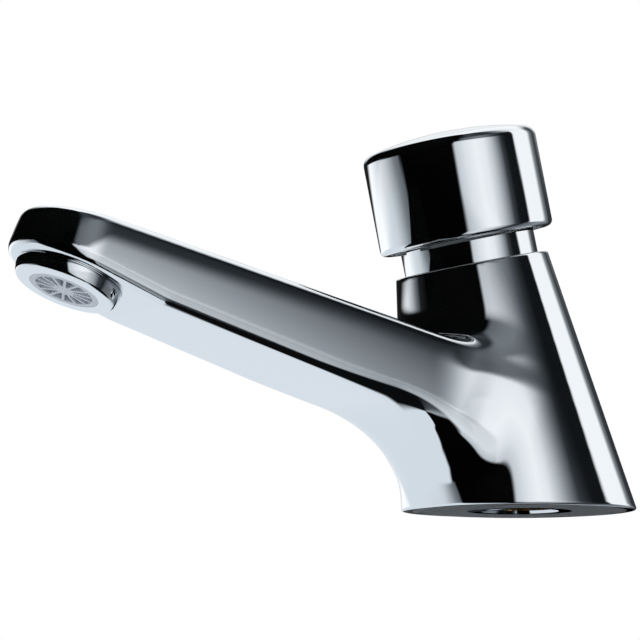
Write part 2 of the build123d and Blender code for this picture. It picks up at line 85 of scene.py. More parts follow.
# Foot: the front under the arch, which spreads and gets rounder corners towards the deck
foot_round = 20.0
foot_round_height = 6.0
foot_round_run = 30.0
foot_flat = 1.9
foot_flat_power = 2
foot_half_width = 27.5
foot_spread_power = 1.5
spout_half_width = 21.3
foot_low = 10.0
foot_taper_limit = 0.98

# Fillets on the ledge over the spout, on its sides and round the foot, and the mesh's spacing
ledge_blend = 12.0
ledge_start = 1.0
ledge_run = 8.0
side_blend = 16.0
side_start = 11.0
side_run = 12.0
least_blend = 0.3
full_fillet_turn = 0.2
foot_blend = 2.4
skin_grain = 0.85

lean_line = Vector((0, -sin(lean), cos(lean)))
outlet_line = Vector((0, sin(outlet_lean), cos(outlet_lean)))
outlet_centre = Vector((0, -outlet_reach, outlet_height))
arch_reach = base_radius + arch_radius * cos(arch_lean)
arch_height = -arch_radius * sin(arch_lean)
arch_end_reach = arch_reach - arch_radius * sin(under_slope)
arch_end_height = arch_height + arch_radius * cos(under_slope)


def upright(line, origin):
    """Matrix that stands a piece drawn along +Z on a line in the plane of symmetry."""
    return Matrix.Translation(origin) @ Vector((0, 0, 1)).rotation_difference(line).to_matrix().to_4x4()


def smooth_step(value):
    """Goes from 0 to 1 with a soft start and end."""
    value = np.clip(value, 0, 1)
    return value * value * (3 - 2 * value)


def rounded_both(first, second, radius):
    """Inside both surfaces, with a round edge where they meet."""
    round_part = np.hypot(np.maximum(first + radius, 0), np.maximum(second + radius, 0))
    return np.minimum(np.maximum(first, second), -radius) + round_part


def round_size(x, y, low):
    """Size of a rounded plan through a point: a circle high up, a little squarer towards the deck."""
    power = 2 + base_squareness * low
    return (np.abs(x) ** power + np.abs(y) ** power) ** (1 / power) / (1 - base_trim * low)


def column_depth(x, y, z):
    """Distance from the column's wall, ruled from the round base to the leaning round rim."""
    steps, lowest, highest = 8, -0.3, 1.3
    up = z / (rim_height * cos(lean))
    across = (y + up * rim_height * sin(lean)) / base_radius
    # Newton's steps to the ruled line through the point, and to the point's place along that line
    for _ in range(steps):
        reach = base_radius * (1 - up) + rim_radius * up * cos(lean)
        miss_y = across * reach - up * rim_height * sin(lean) - y
        miss_z = up * (rim_height * cos(lean) + across * rim_radius * sin(lean)) - z
        y_up = across * (rim_radius * cos(lean) - base_radius) - rim_height * sin(lean)
        z_up = rim_height * cos(lean) + across * rim_radius * sin(lean)
        z_across = up * rim_radius * sin(lean)
        size = y_up * z_across - reach * z_up
        up = np.clip(up - (miss_y * z_across - reach * miss_z) / size, lowest, highest)
        across = (y + up * rim_height * sin(lean)) / (base_radius * (1 - up) + rim_radius * up * cos(lean))
    radius = base_radius * (1 - up) + rim_radius * up
    slope = atan((base_radius - rim_radius) / rim_height)
    low = np.clip(1 - up, 0, 1) ** squareness_power
    return (round_size(x / radius, across, low) - 1) * radius * cos(slope)


def spout_depth(x, y, z):
    """Distances from the spout's skin, from the foot under its arch, and from its flat top."""
    reach = -y
    top_height = outlet_height + tip_depth + (reach - outlet_reach) * tan(top_slope)
    top = (z - top_height) * cos(top_slope)
    # Plan of the spout: the outline round a small circle at the tip and a larger one in the column
    back = (y - outlet_centre.y) * cos(outlet_lean) - (z - outlet_centre.z) * sin(outlet_lean)
    root_drop = (outlet_height - root_height) * tan(outlet_lean)
    length = (outlet_reach - root_reach + root_drop) * cos(outlet_lean)
    taper = (tip_radius - root_radius) / length
    run = sqrt(1 - taper * taper)
    length = length - root_cut
    # The flanks bulge a little at mid-height, between the top and the underside
    under_height = arch_end_height + (reach - arch_end_reach) * tan(under_slope)
    level = (2 * z - top_height - under_height) / np.maximum(top_height - under_height, least_flank)
    level = np.clip(level, -flank_crown_limit, flank_crown_limit)
    side = np.abs(x) + flank_crown * level * level
    along = back * run - side * taper
    wall = side * run + back * taper - tip_radius
    wall = np.where(along < 0, np.hypot(side, back) - tip_radius, wall)
    wall = np.where(along > run * length, np.hypot(side, back - length) - tip_radius + taper * length, wall)
    # Arch, a little flattened at the deck
    turn = np.arcsin(np.clip(z / arch_radius + sin(arch_lean), 0, 1))
    climb = np.clip((turn - arch_lean) / (pi / 2 - under_slope - arch_lean), 0, 1)
    front = reach + foot_flat * (1 - climb) ** foot_flat_power
    past_arch = (front - arch_end_reach) * cos(under_slope) + (z - arch_end_height) * sin(under_slope)
    arch = arch_radius - np.hypot(front - arch_reach, z - arch_height)
    under = (arch_end_height + (front - arch_end_reach) * tan(under_slope) - z) * cos(under_slope)
    under = np.where(past_arch > 0, under, arch)
    facet = (outlet_height + (reach - outlet_reach) * tan(outlet_lean) - z) * cos(outlet_lean)
    facet = np.where(reach > arch_end_reach, facet, -base_radius)
    facet_share = smooth_step((facet - under) / facet_round_run + 0.5)
    low_radius = lower_round + (facet_round - lower_round) * facet_share
    share = np.clip(z / arch_end_height, 0, 1)
    low_share = 1 - smooth_step((z - foot_round_height) / foot_round_run)
    corner = lower_round + (foot_round - lower_round) * low_share
    low_radius = np.maximum(low_radius, corner)
    lower_skin = rounded_both(wall, np.maximum(under, facet), low_radius)
    skin = np.maximum(rounded_both(wall, top, shelf_round), lower_skin)
    # Foot: its round corners are joined to the column's round by straight walls, tangent to both
    half = spout_half_width + (foot_half_width - spout_half_width) * (1 - share) ** foot_spread_power
    up = np.clip(z / (rim_height * cos(lean)), 0, 1)
    column_radius = (base_radius * (1 - up) + rim_radius * up) * (1 - base_trim) - foot_blend / 3
    arch_front = arch_reach - arch_radius * np.cos(np.minimum(turn, pi / 2 - under_slope))
    out, ahead = np.abs(x) - half + corner, front - arch_front + corner
    centre_out, centre_ahead = corner - half, up * rim_height * sin(lean) - arch_front + corner
    length = np.hypot(centre_out, centre_ahead)
    back = (out * centre_out + ahead * centre_ahead) / length
    side = (ahead * centre_out - out * centre_ahead) / length
    taper = np.maximum((corner - column_radius) / length, -foot_taper_limit)
    run = np.sqrt(1 - taper * taper)
    along = back * run - side * taper
    foot = side * run + back * taper - corner
    round_column = np.hypot(out - centre_out, ahead - centre_ahead) - column_radius
    foot = np.where(along > run * length, round_column, foot)
    foot = np.where(along < 0, np.hypot(np.maximum(out, 0), ahead) - corner, foot)
    foot = np.where((along < 0) & (out < 0), ahead - corner, foot)
    forward = np.maximum(ahead, 0) / np.maximum(np.hypot(np.maximum(out, 0), np.maximum(ahead, 0)), 0.01)
    foot = foot / np.hypot(1, np.tan(np.minimum(turn, pi / 2 - under_slope)) * forward)
    return skin, foot, top


def body_parts(places):
    """Distances from the column, the spout, the foot and the outlet's bore, and the reach of the fillet."""
    x, y, z = places.T
    spout, foot, top = spout_depth(x, y, z)
    below_top = smooth_step((-top - ledge_start) / ledge_run)
    on_side = smooth_step((np.abs(x) - side_start) / side_run)
    width = ledge_blend * (1 - below_top) + side_blend * below_top * on_side
    bore_down = (y - outlet_centre.y) * sin(outlet_lean) + (z - outlet_centre.z) * cos(outlet_lean)
    bore_back = (y - outlet_centre.y) * cos(outlet_lean) - (z - outlet_centre.z) * sin(outlet_lean)
    bore = np.maximum(np.hypot(x, bore_back) - outlet_bore, bore_down - outlet_bore_depth)
    return np.stack([column_depth(x, y, z), spout, foot, bore, np.maximum(width, least_blend)])


def joined(first, second, width, fillet):
    """Depth of two joined shapes with a fillet of a width between them, and the first one's share of it."""
    gap = first - second
    near = np.maximum(width - np.abs(gap), 0) / width
    depth = np.minimum(first, second) - near**3 * width / 6 * fillet
    return depth, (gap < 0) + near**2 / 2 * np.sign(gap) * fillet


def settle_on_skin(places):
    """Moves points on to the finished skin. The spout flows into the column with a fillet where the two
    meet at an angle, and none where they run along each other. Below it the foot takes over."""
    rounds, nudge, least_slope, least_square = 4, 0.02, 0.05, 0.2
    for _ in range(rounds):
        column, spout, foot, bore, width = body_parts(places)
        slopes = np.stack([(body_parts(places + step)[:4] - body_parts(places - step)[:4]) / (2 * nudge)
                           for step in nudge * np.eye(3)], axis=2)
        sizes = np.maximum(np.linalg.norm(slopes, axis=2), least_slope)
        turn = 1 - (slopes[0] * slopes[1]).sum(1) / (sizes[0] * sizes[1])
        high, high_share = joined(column, spout, width, smooth_step(turn / full_fillet_turn))
        low, low_share = joined(column, foot, foot_blend, 1)
        rise = smooth_step((places[:, 2] - foot_low) / (arch_end_height - foot_low))
        depth = low + (high - low) * rise
        of_column = low_share * (1 - rise) + high_share * rise
        of_spout, of_foot = (1 - high_share) * rise, (1 - low_share) * (1 - rise)
        slope = (slopes[:3] * np.stack([of_column, of_spout, of_foot])[:, :, None]).sum(0)
        in_bore = depth < -bore
        depth = np.where(in_bore, -bore, depth)
        slope = np.where(in_bore[:, None], -slopes[3], slope)
        places = places - slope * (depth / np.maximum((slope * slope).sum(1), least_square))[:, None]
    return places


def new_object(name, bm):
    """Turns a bmesh into an object of the scene."""
    mesh = bpy.data.meshes.new(name)
    bm.to_mesh(mesh)
    bm.free()
    piece = bpy.data.objects.new(name, mesh)
    bpy.context.scene.collection.objects.link(piece)
    return piece


circle_sides = 96


def ring_of_points(bm, radius, matrix, segments=circle_sides):
    """Adds a circle that is later hulled or spun."""
    return bmesh.ops.create_circle(bm, segments=segments, radius=radius, matrix=matrix)["verts"]


# Rough shapes of the column, the spout's plan, its side profile and the outlet's bore
spare = 4.0
bm = bmesh.new()
taper_per_mm = (base_radius - rim_radius) / rim_height
ring_of_points(bm, base_radius + spare * taper_per_mm, Matrix.Translation((0, 0, -spare)))
ring_of_points(bm, rim_radius - spare * taper_per_mm, upright(lean_line, lean_line * (rim_height + spare)))
bmesh.ops.convex_hull(bm, input=bm.verts)
column_rough = new_object("column_rough", bm)

plan_half_height = 60
root_centre = Vector((0, -root_reach, root_height))
bm = bmesh.new()
for height in (-plan_half_height, plan_half_height):
    ring_of_points(bm, tip_radius, upright(outlet_line, outlet_centre + outlet_line * height))
    ring_of_points(bm, root_radius, upright(outlet_line, root_centre + outlet_line * height))
bmesh.ops.convex_hull(bm, input=bm.verts)
plan_rough = new_object("plan_rough", bm)

arch_steps = 8
bm = bmesh.new()
far = outlet_reach + tip_radius * 2
facet_drop = outlet_height - arch_end_height - (outlet_reach - arch_end_reach) * tan(under_slope)
facet_start = outlet_reach - facet_drop / (tan(outlet_lean) - tan(under_slope))
outline = [(root_reach, -spare), (arch_reach - arch_radius, -spare)]
for step in range(arch_steps + 1):
    turn = pi - arch_lean + (pi / 2 + under_slope - pi + arch_lean) * step / arch_steps
    outline.append((arch_reach + arch_radius * cos(turn), arch_height + arch_radius * sin(turn)))
outline.append((facet_start, arch_end_height + (facet_start - arch_end_reach) * tan(under_slope)))
outline.append((far, outlet_height + (far - outlet_reach) * tan(outlet_lean)))
outline.append((far, outlet_height + tip_depth + (far - outlet_reach) * tan(top_slope)))
outline.append((root_reach, outlet_height + tip_depth + (root_reach - outlet_reach) * tan(top_slope)))
face = bm.faces.new([bm.verts.new((-base_radius, -reach, height)) for reach, height in outline])
extruded = bmesh.ops.extrude_face_region(bm, geom=[face])["geom"]
moved = [part for part in extruded if isinstance(part, bmesh.types.BMVert)]
bmesh.ops.translate(bm, vec=(base_radius * 2, 0, 0), verts=moved)
bmesh.ops.recalc_face_normals(bm, faces=bm.faces)
body_rough = new_object("body_rough", bm)

bm = bmesh.new()
bmesh.ops.create_cone(bm, cap_ends=True, segments=circle_sides, radius1=outlet_bore, radius2=outlet_bore,
                      depth=outlet_bore_depth * 2, matrix=upright(outlet_line, outlet_centre))
bore_rough = new_object("bore_rough", bm)

for cutter, operation in ((plan_rough, "INTERSECT"), (column_rough, "UNION"), (bore_rough, "DIFFERENCE")):
    join = body_rough.modifiers.new(operation, "BOOLEAN")
    join.operation = operation
    join.object = cutter
grain = body_rough.modifiers.new("grain", "REMESH")
grain.mode = "VOXEL"
grain.voxel_size = skin_grain
bpy.context.view_layer.update()
rough_mesh = bpy.data.meshes.new_from_object(body_rough.evaluated_get(bpy.context.evaluated_depsgraph_get()))
bm = bmesh.new()
bm.from_mesh(rough_mesh)
for rough in (body_rough, plan_rough, column_rough, bore_rough):
    bpy.data.objects.remove(rough)


def settle(bm):
    """Settles every vertex on the finished skin."""
    places = settle_on_skin(np.array([vert.co for vert in bm.verts], float))
    for vert, place in zip(bm.verts, places):
        vert.co = place


smoothing_rounds = 5
settle(bm)
for _ in range(smoothing_rounds):
    bmesh.ops.smooth_vert(bm, verts=bm.verts, factor=0.5, use_axis_x=True, use_axis_y=True, use_axis_z=True)
    settle(bm)


def cut_flat(bm, place, line, width):
    """Cuts off what lies past a plane within a width of a place, and returns the edges of the cut."""
    snap, on_plane = 0.02, 0.05
    near = [face for face in bm.faces if (face.calc_center_median() - place).length < width]
    edges = list({edge for face in near for edge in face.edges})
    verts = list({vert for face in near for vert in face.verts})
    bmesh.ops.bisect_plane(bm, geom=verts + edges + near, dist=snap, plane_co=place, plane_no=line,
                           clear_outer=True)
    return [edge for edge in bm.edges if edge.is_boundary
            and all(abs((vert.co - place).dot(line)) < on_plane for vert in edge.verts)]


def turn_inwards(bm, edges, matrix, rounding, profile):
    """Carries a rim on about the matrix's Z axis, through rings a given inset from it, then through
    rings of a given radius. Each ring also has its height."""
    inverse = matrix.inverted()
    last_inset = 0
    for place, (size, height) in enumerate(rounding + profile):
        grown = bmesh.ops.extrude_edge_only(bm, edges=edges)["geom"]
        edges = [part for part in grown if isinstance(part, bmesh.types.BMEdge)]
        for vert in (part for part in grown if isinstance(part, bmesh.types.BMVert)):
            local = inverse @ vert.co
            radius = hypot(local.x, local.y)
            scale = (radius - size + last_inset if place < len(rounding) else size) / radius
            vert.co = matrix @ Vector((local.x * scale, local.y * scale, height))
        last_inset = size
    bmesh.ops.contextual_create(bm, geom=edges)


def quarter_round(height, size, upwards, steps=4):
    """Quarter circle that turns a wall into a flat, as insets and heights."""
    turns = [pi / 2 * step / steps for step in range(1, steps + 1)]
    return [(size * (1 - cos(turn)), height + upwards * size * sin(turn)) for turn in turns]


# Base: a flat ring on the deck, a recess for the gasket, and the boss with the inlet's bore
recess_radius, recess_depth = 30.5, 2
boss_radius = 15
inlet_mouth, inlet_chamfer = 11.2, 0.8
inlet_radius, inlet_depth = 10.48, 12
inlet_seat_radius, inlet_seat_depth = 8.5, 13.25
base_cut = cut_flat(bm, Vector((0, 0, edge_round)), Vector((0, 0, -1)), base_radius + spare)
turn_inwards(bm, base_cut, Matrix.Identity(4), quarter_round(edge_round, edge_round, -1),
             [(recess_radius, 0), (recess_radius, recess_depth), (boss_radius, recess_depth),
              (boss_radius, 0), (inlet_mouth, 0), (inlet_radius, inlet_chamfer), (inlet_radius, inlet_depth),
              (inlet_seat_radius, inlet_depth), (inlet_seat_radius, inlet_seat_depth)])

# Rim: the hole that the collar screws into, and below it the room round the cartridge and the valve
collar_thread_radius, collar_thread_low = 16.5, 61.5
cartridge_room_radius, cartridge_room_low = 14.4, 30
valve_room_radius, valve_room_low = 10.5, 18.3
valve_cone_radius, valve_cone_low = 5, 16.1
rim_place = lean_line * (rim_height - edge_round)
rim_cut = cut_flat(bm, rim_place, lean_line, rim_radius + spare)
turn_inwards(bm, rim_cut, upright(lean_line, Vector((0, 0, 0))),
             quarter_round(rim_height - edge_round, edge_round, 1),
             [(collar_thread_radius, rim_height), (collar_thread_radius, collar_thread_low),
              (cartridge_room_radius, collar_thread_low), (cartridge_room_radius, cartridge_room_low),
              (valve_room_radius, cartridge_room_low), (valve_room_radius, valve_room_low),
              (valve_cone_radius, valve_cone_low)])
bmesh.ops.recalc_face_normals(bm, faces=bm.faces)

crease_angle = 28


def finished(name, bm, crease=crease_angle):
    """Makes a piece in metres, shaded smooth but for the edges that turn by more than the crease angle."""
    for edge in bm.edges:
        edge.smooth = not (edge.is_manifold and edge.calc_face_angle(0) > radians(crease))
    for part in bm.faces:
        part.smooth = True
    bmesh.ops.scale(bm, vec=(MM, MM, MM), verts=bm.verts)
    return new_object(name, bm)


body_shell = finished("body_shell", bm)
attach(body_shell, "tap")
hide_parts("body")


# Chrome plate on polished brass: a bluish-white mirror that is never quite flat, with a breath of
# haze left by the mop and by the water that dried on it. The haze comes in patches about 11 mm
# across, and the swell of the ground metal is about 18 mm long.
def linear(hex_colour, alpha=1.0):
    """Linear colour from an sRGB hex value."""
    parts = [int(hex_colour[place:place + 2], 16) / 255 for place in (1, 3, 5)]
    parts = [part / 12.92 if part <= 0.04045 else ((part + 0.055) / 1.055) ** 2.4 for part in parts]
    return tuple(parts) + (alpha,)


def add_node(material, kind, settings=None, links=None):
    """Adds a node, sets its sockets and fields by name, and joins its inputs to other nodes' outputs."""
    node = material.node_tree.nodes.new(kind)
    for name, value in (settings or {}).items():
        if name in node.inputs:
            node.inputs[name].default_value = value
        else:
            setattr(node, name, value)
    for name, socket in (links or {}).items():
        material.node_tree.links.new(socket, node.inputs[name])
    return node


def new_material(name):
    """Material with an empty node tree."""
    material = bpy.data.materials.new(name)
    material.use_nodes = True
    material.node_tree.nodes.clear()
    return material


def wear_finish(piece, material):
    """Gives every face of a piece one material."""
    piece.data.materials.clear()
    piece.data.materials.append(material)


chrome = new_material("polished_chrome_plate")
place = add_node(chrome, "ShaderNodeTexCoord")
haze = add_node(chrome, "ShaderNodeTexNoise", {"Scale": 90.0, "Detail": 4.0, "Roughness": 0.6},
                {"Vector": place.outputs["Object"]})
gloss = add_node(chrome, "ShaderNodeMapRange",
                 {"From Min": 0.3, "From Max": 0.75, "To Min": 0.022, "To Max": 0.05},
                 {"Value": haze.outputs["Fac"]})
ripple = add_node(chrome, "ShaderNodeTexNoise", {"Scale": 55.0, "Detail": 1.0},
                  {"Vector": place.outputs["Object"]})
swell = add_node(chrome, "ShaderNodeBump", {"Strength": 0.012, "Distance": 0.0002},
                 {"Height": ripple.outputs["Fac"]})
shader = add_node(chrome, "ShaderNodeBsdfPrincipled", {"Base Color": linear("#E4E7EA"), "Metallic": 1.0},
                  {"Roughness": gloss.outputs["Result"], "Normal": swell.outputs["Normal"]})
add_node(chrome, "ShaderNodeOutputMaterial", links={"Surface": shader.outputs["BSDF"]})
wear_finish(body_shell, chrome)

# Push button: a deep cap pressed and turned from brass, chromed like the body, with a low domed
# crown and soft shoulders. It stands clear of the rim so that it has room to travel.
button_radius = 25.0
button_low = 78.5
button_top = 110.3
crown_radius = 97.0
crown_round = 3.0
crown_steps = 10
skirt_round = 1.7
button_wall = 1.8
crown_under = 103.5
button_boss_radius, button_boss_low = 6.5, 92
stem_hole_radius, stem_hole_top = 3, 100.5


def spun(profile, line, origin, segments=192):
    """Turns a profile of radius and height points about a line and closes it."""
    bm = bmesh.new()
    verts = [bm.verts.new((radius, 0, height)) for radius, height in profile]
    edges = [bm.edges.new(pair) for pair in zip(verts, verts[1:])]
    bmesh.ops.spin(bm, geom=verts + edges, axis=(0, 0, 1), cent=(0, 0, 0), angle=2 * pi, steps=segments,
                   use_merge=True)
    bmesh.ops.remove_doubles(bm, verts=bm.verts, dist=0.001)
    bmesh.ops.recalc_face_normals(bm, faces=bm.faces)
    bm.transform(upright(line, origin))
    return bm


def finish_turned(name, bm, body, nodes, material, crease=crease_angle):
    """Finishes a piece, rides it on a body where it has one, and lets it take the place of CAD nodes."""
    piece = finished(name, bm, crease)
    if body:
        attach(piece, body)
    if nodes:
        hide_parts(*nodes)
    wear_finish(piece, material)
    return piece


def crown_height(radius):
    """Height of the domed crown at a distance from the button's axis."""
    return button_top - (crown_radius - sqrt(crown_radius**2 - radius**2))


def round_corner(radius, height, size, start, finish, steps=8):
    """Arc of a size round a centre, from a start to a finish in degrees from the upward direction."""
    turns = [radians(start + (finish - start) * step / steps) for step in range(steps + 1)]
    return [(radius + size * sin(turn), height + size * cos(turn)) for turn in turns]


shoulder = button_radius - crown_round
shoulder_height = button_top - crown_radius + sqrt((crown_radius - crown_round)**2 - shoulder**2)
shoulder_start = degrees(asin(shoulder / (crown_radius - crown_round)))
crown_reach = shoulder * crown_radius / (crown_radius - crown_round)
radii = [crown_reach * step / crown_steps for step in range(crown_steps)]
bore = button_radius - button_wall
profile = [(radius, crown_height(radius)) for radius in radii]
profile += round_corner(shoulder, shoulder_height, crown_round, shoulder_start, 90)
profile += round_corner(button_radius - skirt_round, button_low + skirt_round, skirt_round, 90, 180)
profile += [(bore, button_low), (bore, crown_under), (button_boss_radius, crown_under),
            (button_boss_radius, button_boss_low), (stem_hole_radius, button_boss_low),
            (stem_hole_radius, stem_hole_top), (0, stem_hole_top)]
deck_centre = Vector((0, 0, 0))
bm = spun(profile, lean_line, deck_centre)
finish_turned("button_cap", bm, "button", ["push_button"], chrome)

# Collar: a chromed brass sleeve, turned from bar and screwed into the body's rim. The button
# slides on it, and its upper edge is broken with a small round.
sleeve_bore = 13.2
sleeve_radius = 19.25
sleeve_low = 63.5
sleeve_top = 88
sleeve_edge_round = 0.5


def soften(bm, line, origin, radius, height, size, segments=3):
    """Rounds the ring of edges at a radius and height."""
    near = 0.05
    inverse = upright(line, origin).inverted()
    ring = []
    for edge in bm.edges:
        ends = [inverse @ vert.co for vert in edge.verts]
        if all(abs(hypot(end.x, end.y) - radius) < near and abs(end.z - height) < near for end in ends):
            ring.append(edge)
    bmesh.ops.bevel(bm, geom=ring, offset=size, offset_type="OFFSET", affect="EDGES", segments=segments,
                    profile=0.5, material=-1, clamp_overlap=False)


profile = [(sleeve_bore, sleeve_low), (collar_thread_radius, sleeve_low), (collar_thread_radius, rim_height),
           (sleeve_radius, rim_height), (sleeve_radius, sleeve_top), (sleeve_bore, sleeve_top),
           (sleeve_bore, sleeve_low)]
bm = spun(profile, lean_line, deck_centre)
soften(bm, lean_line, deck_centre, sleeve_radius, sleeve_top, sleeve_edge_round)
finish_turned("collar_sleeve", bm, "tap", ["collar"], chrome)

# Aerator ring: a chromed brass nut, turned and screwed up into the outlet's bore. It has a slightly
# coned flange, a round nose and a thin lip that holds the star insert.
nose_low = -3.95
nose_round = 1.1
nose_flat_radius = 12.58
nose_steps = 6
lip_radius, lip_top = 9.4, -2
flange_cone = 16.4
flange_radius, flange_low = 14.3, -0.9
flange_edge_round = 0.25
ring_bore, ring_top = 10.4, 5.5
nose_height = nose_low + nose_round
profile = [(lip_radius, nose_low)]
profile += round_corner(nose_flat_radius, nose_height, nose_round, 180, 90 + flange_cone, nose_steps)
profile += [(flange_radius, flange_low), (flange_radius, 0), (outlet_bore, 0), (outlet_bore, ring_top),
            (ring_bore, ring_top), (ring_bore, lip_top), (lip_radius, lip_top), (lip_radius, nose_low)]
bm = spun(profile, outlet_line, outlet_centre)
soften(bm, outlet_line, outlet_centre, flange_radius, 0, flange_edge_round)
finish_turned("outlet_ring", bm, "tap", ["aerator_ring"], chrome)


# Star insert and jet core: pale grey acetal mouldings. The star clips in the ring and breaks the
# water into a soft stream, and the core above it makes the jets. The mould's wall leaves the gloss
# uneven in patches about 1 mm across.
def moulded(name, colour, roughness, grain, bump):
    """Plastic or rubber with the faint uneven gloss of a mould's wall, its grain in patches to the metre."""
    shiniest, dullest = roughness - 0.07, roughness + 0.07
    material = new_material(name)
    place = add_node(material, "ShaderNodeTexCoord")
    mottle = add_node(material, "ShaderNodeTexNoise", {"Scale": grain, "Detail": 3.0},
                      {"Vector": place.outputs["Object"]})
    gloss = add_node(material, "ShaderNodeMapRange",
                     {"From Min": 0.3, "From Max": 0.7, "To Min": shiniest, "To Max": dullest},
                     {"Value": mottle.outputs["Fac"]})
    skin = add_node(material, "ShaderNodeBump", {"Strength": bump, "Distance": 0.0002},
                    {"Height": mottle.outputs["Fac"]})
    shader = add_node(material, "ShaderNodeBsdfPrincipled", {"Base Color": linear(colour)},
                      {"Roughness": gloss.outputs["Result"], "Normal": skin.outputs["Normal"]})
    add_node(material, "ShaderNodeOutputMaterial", links={"Surface": shader.outputs["BSDF"]})
    return material


pale_acetal = moulded("pale_grey_acetal_moulding", "#C8D0DB", 0.34, 900.0, 0.08)
for name in ("aerator_insert", "aerator_core"):
    wear_finish(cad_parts[name], pale_acetal)

# Bush and stem guide: white acetal, turned from bar, with a soft sheen. The bush is pressed into the
# button's skirt and the guide into the cartridge, so that both slide without grease.
white_acetal = moulded("white_acetal_turned", "#E3E3DF", 0.38, 700.0, 0.06)
for name in ("button_bush", "stem_guide"):
    wear_finish(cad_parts[name], white_acetal)

# Gasket: a ring of translucent white silicone rubber, stamped from sheet with a dull skin. It lies
# in the base's recess and is pressed flat between the casting and the deck.
silicone = moulded("white_silicone_rubber", "#E6E9EC", 0.46, 500.0, 0.12)
wear_finish(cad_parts["base_seal"], silicone)

# Ring seals, piston seal and washers: black nitrile rubber, matt from the mould. The rings sit in
# grooves, and the washers are held by the valve's nut and by the aerator.
rubber = moulded("black_nitrile_rubber", "#1D1D1E", 0.62, 800.0, 0.2)
for name in ("sleeve_seal_upper", "sleeve_seal_lower", "collar_seal", "stem_seal", "piston_seal",
             "valve_washer", "aerator_seal"):
    wear_finish(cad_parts[name], rubber)


# Cartridge, timing piston, the valve's cup and nut, and the button's locknut: bare brass off the
# lathe. The tool leaves fine rings across the leaning axis, drawn here about 1 mm apart, which is
# as coarse as they need to be to show.
def turned_metal(name, colour, roughness, line_scale):
    """Bare metal with fine tool marks across the leaning axis, 120 times a scale to the metre."""
    shiniest, dullest = roughness - 0.08, roughness + 0.1
    material = new_material(name)
    place = add_node(material, "ShaderNodeTexCoord")
    lay = add_node(material, "ShaderNodeMapping", {"Rotation": (-lean, 0, 0), "Scale": (1, 1, line_scale)},
                   {"Vector": place.outputs["Object"]})
    marks = add_node(material, "ShaderNodeTexNoise", {"Scale": 120.0, "Detail": 3.0},
                     {"Vector": lay.outputs["Vector"]})
    gloss = add_node(material, "ShaderNodeMapRange",
                     {"From Min": 0.25, "From Max": 0.75, "To Min": shiniest, "To Max": dullest},
                     {"Value": marks.outputs["Fac"]})
    cut = add_node(material, "ShaderNodeBump", {"Strength": 0.15, "Distance": 0.0001},
                   {"Height": marks.outputs["Fac"]})
    shader = add_node(material, "ShaderNodeBsdfPrincipled", {"Base Color": linear(colour), "Metallic": 1.0},
                      {"Roughness": gloss.outputs["Result"], "Normal": cut.outputs["Normal"]})
    add_node(material, "ShaderNodeOutputMaterial", links={"Surface": shader.outputs["BSDF"]})
    return material


brass = turned_metal("bare_turned_brass", "#D3B06C", 0.26, 9.0)
for name in ("cartridge_sleeve", "timing_piston", "valve_disc", "valve_nut", "button_locknut"):
    wear_finish(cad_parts[name], brass)

# Stem, spring washer, clips, valve seat and strainer: stainless steel, drawn, stamped or turned. It
# is a little greyer than the chrome and keeps the marks of the tool.
steel = turned_metal("bare_stainless_steel", "#C2C2BF", 0.3, 6.0)
for name in ("stem", "spring_seat", "guide_circlip", "piston_clip", "valve_seat", "inlet_strainer"):
    wear_finish(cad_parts[name], steel)

# Return spring: seven turns of stainless spring wire between the spring washer and the button's
# crown. In the tap its foot stands still and its head goes down with the button; this piece is
# drawn at rest and rides on no body.
spring_radius = 10.5
spring_wire_radius = 0.87
spring_turns = 7
spring_crease = 60
wire_sides = 12
steps_per_turn = 36
heights = [vert.co.dot(lean_line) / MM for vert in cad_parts["return_spring"].data.vertices]
spring_low, spring_high = min(heights) + spring_wire_radius, max(heights) - spring_wire_radius
bm = bmesh.new()
wire_end = Matrix.Translation((spring_radius, 0, 0)) @ Matrix.Rotation(pi / 2, 4, "X")
ring_of_points(bm, spring_wire_radius, wire_end, wire_sides)
steps = steps_per_turn * spring_turns
bmesh.ops.spin(bm, geom=bm.verts[:] + bm.edges[:], axis=(0, 0, 1), cent=(0, 0, 0),
               angle=2 * pi * spring_turns, dvec=(0, 0, (spring_high - spring_low) / steps), steps=steps,
               use_merge=False)
bmesh.ops.holes_fill(bm, edges=[edge for edge in bm.edges if edge.is_boundary], sides=0)
bmesh.ops.recalc_face_normals(bm, faces=bm.faces)
bm.transform(upright(lean_line, lean_line * spring_low))
button_spring = finish_turned("button_spring", bm, None, ["return_spring"], steel,
                              spring_crease)
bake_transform(button_spring)

# Inlet thread: a parallel pipe thread cut in the brass of the base's boss, with one start. It is
# seen only from under the deck.
thread_pitch = 1.814
thread_depth = 0.75
thread_turns = 5
thread_steps = 64
thread_bore = 10.5
thread_low = 1.4
bm = bmesh.new()
crest = (thread_bore - thread_depth, 0, thread_pitch * 0.45)
flank = [bm.verts.new(point) for point in ((thread_bore, 0, 0), crest, (thread_bore, 0, thread_pitch * 0.9))]
edges = [bm.edges.new(pair) for pair in zip(flank, flank[1:])]
bmesh.ops.spin(bm, geom=flank + edges, axis=(0, 0, 1), cent=(0, 0, 0), angle=2 * pi * thread_turns,
               dvec=(0, 0, thread_pitch / thread_steps), steps=thread_steps * thread_turns, use_merge=False)
bmesh.ops.translate(bm, vec=(0, 0, thread_low), verts=bm.verts)
bmesh.ops.recalc_face_normals(bm, faces=bm.faces)
finish_turned("inlet_thread", bm, "tap", [], brass)

